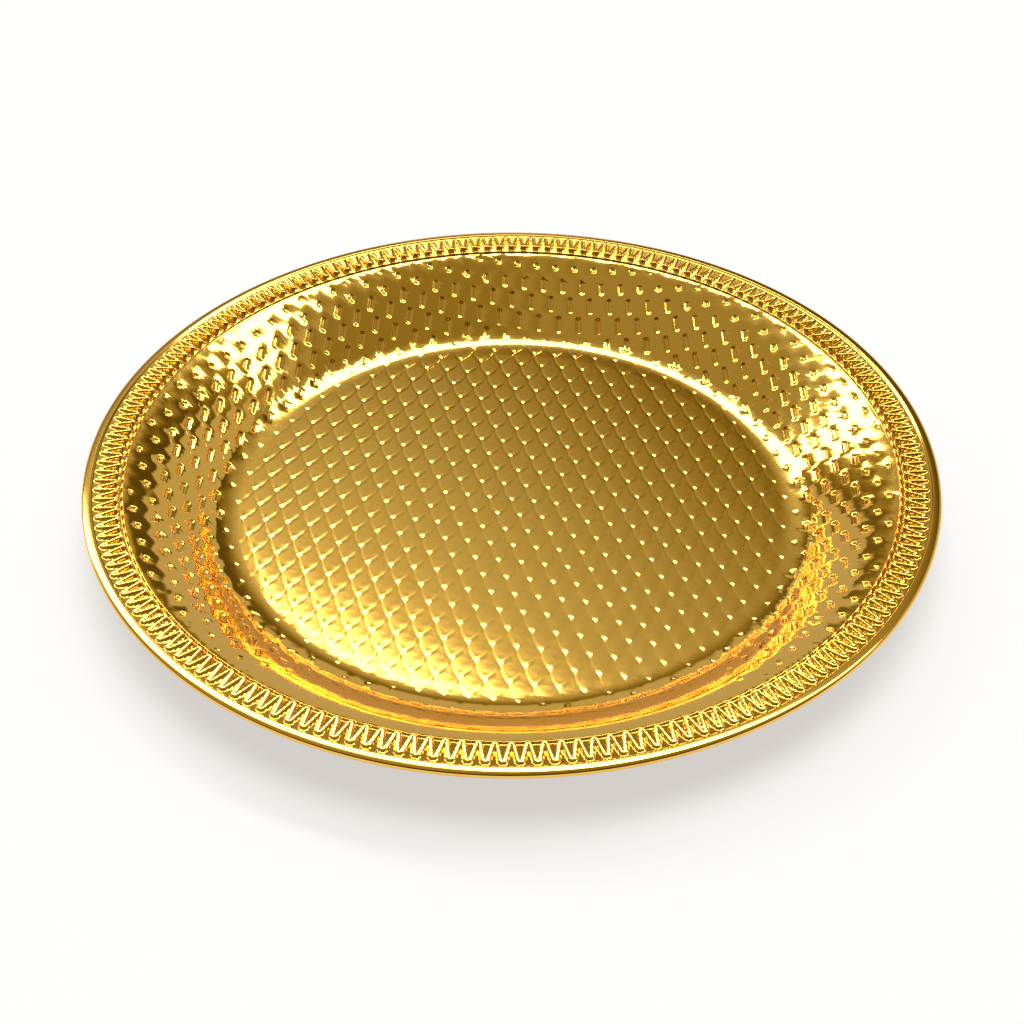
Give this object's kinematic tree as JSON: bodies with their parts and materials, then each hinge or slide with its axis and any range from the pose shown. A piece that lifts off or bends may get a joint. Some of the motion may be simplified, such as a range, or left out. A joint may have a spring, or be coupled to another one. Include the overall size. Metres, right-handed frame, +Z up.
{
  "type": "snack tray",
  "caption": "Round shallow metal serving tray with a hammered floor and flared wall, a gadroon border on the rim and a smooth turned lip.",
  "frame": {"origin": "centre of the flat underside that the tray stands on", "axes": "+Z up along the tray's axis, through the middle of the floor and the rim"},
  "size_m": [0.25, 0.25, 0.0195],
  "materials": {
    "dish": "hammered, mirror polished",
    "gadroon_border": "stamped, mirror polished",
    "rim_wire": "drawn wire, plain"
  },
  "bodies": {
    "root": {"dish": "dish", "gadroon_border": "gadroon_border", "rim_wire": "rim_wire"}
  },
  "joints": []
}
